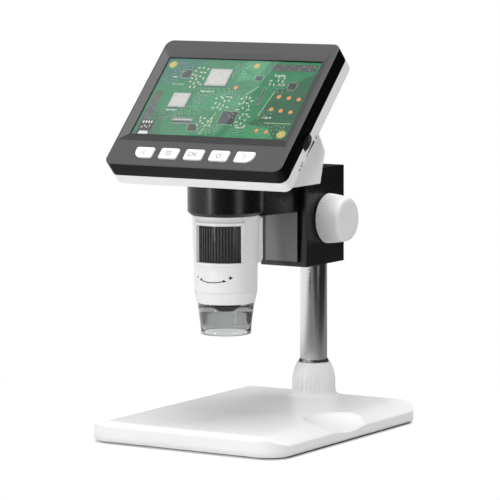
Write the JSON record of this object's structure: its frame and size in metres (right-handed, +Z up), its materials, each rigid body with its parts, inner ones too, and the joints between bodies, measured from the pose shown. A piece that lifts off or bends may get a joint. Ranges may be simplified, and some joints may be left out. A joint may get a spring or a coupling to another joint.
{
  "type": "digital microscope",
  "caption": "Bench digital microscope: tilted screen with push buttons on a lens tube, focus carriage with side knobs, chromed column and a flat base.",
  "frame": {"origin": "on the surface the feet stand on, under the middle of the base", "axes": "+Z up along the column, +Y to the back where the column stands, +X to the right, the side with the thumb scoop and the lamp dimmer"},
  "size_m": [0.1192, 0.1514, 0.2086],
  "materials": {
    "white_plastic": "satin white",
    "dark_plastic": "fine grained",
    "black_plastic": "satin black",
    "grey_plastic": "satin grey",
    "knob_plastic": "satin off-white",
    "button_plastic": "satin light grey",
    "black_metal": "black satin coating",
    "chrome": "polished",
    "steel": "plated",
    "dark_steel": "blackened",
    "switch_metal": "tinned",
    "brass": "turned",
    "rubber": "matt",
    "lamp": "phosphor in a white case",
    "black_board": "black lacquer",
    "green_board": "green lacquer",
    "chip": "moulded",
    "film_cable": "amber film",
    "foil": "foil pouch",
    "clear_plastic": "clear plastic",
    "lens_glass": "polished",
    "screen_glass": "polished",
    "screen": "lit screen"
  },
  "bodies": {
    "stand": {"base_shell": "white_plastic", "base_cover": "dark_plastic", "base_cover_screws": "steel", "base_weight": "steel", "base_feet": "rubber", "column_tube": "chrome", "column_plug": "steel", "column_washer": "steel", "column_bolt": "steel", "column_seal": "rubber", "head_block": "black_metal", "head_top_cover": "black_plastic", "head_cover_screws": "steel", "column_grub_screws": "dark_steel", "shaft_bushes": "brass"},
    "focus_drive": {"drive_shaft": "steel", "pinion_gear": "brass", "knob_left": "knob_plastic", "knob_right": "knob_plastic", "friction_washers": "black_plastic"},
    "carriage": {"carriage_arm": "black_metal", "tube_set_screws": "dark_steel", "wedge_screws": "steel", "rack": "steel", "rack_screws": "steel", "lens_tube": "white_plastic", "tube_neck": "black_plastic", "tube_end_ring": "white_plastic", "led_board": "black_board", "leds": "lamp", "clear_cap": "clear_plastic", "sensor_board": "green_board", "image_sensor": "chip", "sensor_cable": "film_cable", "front_bezel": "black_plastic", "rear_shell": "white_plastic", "housing_screws": "steel", "screen_glass": "screen_glass", "lcd_panel": "screen", "main_board": "green_board", "board_screws": "steel", "board_chips": "chip", "battery": "foil", "button_board": "green_board", "button_switches": "switch_metal", "dimmer_pot": "dark_plastic", "usb_socket": "switch_metal", "card_socket": "switch_metal"},
    "focusing_ring": {"focus_ring": "grey_plastic"},
    "lens": {"lens_carrier": "black_plastic", "lens_barrel": "black_plastic", "objective_lens": "lens_glass"},
    "dimmer": {"dimmer_wheel": "grey_plastic"},
    "back_button": {"button_back": "button_plastic"},
    "menu_button": {"button_menu": "button_plastic"},
    "ok_button": {"button_ok": "button_plastic"},
    "power_button": {"button_power": "button_plastic"},
    "next_button": {"button_next": "button_plastic"}
  },
  "joints": [
    {"name": "carriage_slide", "type": "slide", "parent": "stand", "child": "carriage", "axis": [0, 0, 1], "range_m": [0, 0.02]},
    {"name": "drive_turn", "type": "hinge", "parent": "stand", "child": "focus_drive", "pos_m": [0, 0.0496, 0.1114], "axis": [1, 0, 0], "range_deg": [-165, 5]},
    {"name": "focusing_ring_turn", "type": "hinge", "parent": "carriage", "child": "focusing_ring", "pos_m": [0, -0.03, 0.105], "axis": [0, 0, 1], "range_deg": [0, 240]},
    {"name": "lens_slide", "type": "slide", "parent": "carriage", "child": "lens", "axis": [0, 0, 1], "range_m": [0, 0.004]},
    {"name": "dimmer_turn", "type": "hinge", "parent": "carriage", "child": "dimmer", "pos_m": [0.047, -0.03804, 0.15974], "axis": [0, -0.7071, 0.7071], "range_deg": [-135, 135]},
    {"name": "back_press", "type": "slide", "parent": "carriage", "child": "back_button", "axis": [0, 0.7071, -0.7071], "range_m": [0, 0.0005], "stiffness_N_per_m": 600},
    {"name": "menu_press", "type": "slide", "parent": "carriage", "child": "menu_button", "axis": [0, 0.7071, -0.7071], "range_m": [0, 0.0005], "stiffness_N_per_m": 600},
    {"name": "ok_press", "type": "slide", "parent": "carriage", "child": "ok_button", "axis": [0, 0.7071, -0.7071], "range_m": [0, 0.0005], "stiffness_N_per_m": 600},
    {"name": "power_press", "type": "slide", "parent": "carriage", "child": "power_button", "axis": [0, 0.7071, -0.7071], "range_m": [0, 0.0005], "stiffness_N_per_m": 600},
    {"name": "next_press", "type": "slide", "parent": "carriage", "child": "next_button", "axis": [0, 0.7071, -0.7071], "range_m": [0, 0.0005], "stiffness_N_per_m": 600}
  ],
  "couplings": [
    {"joint": "drive_turn", "follows": "carriage_slide", "rad_per_m": -142.86},
    {"joint": "lens_slide", "follows": "focusing_ring_turn", "m_per_rad": 0.00095493}
  ]
}
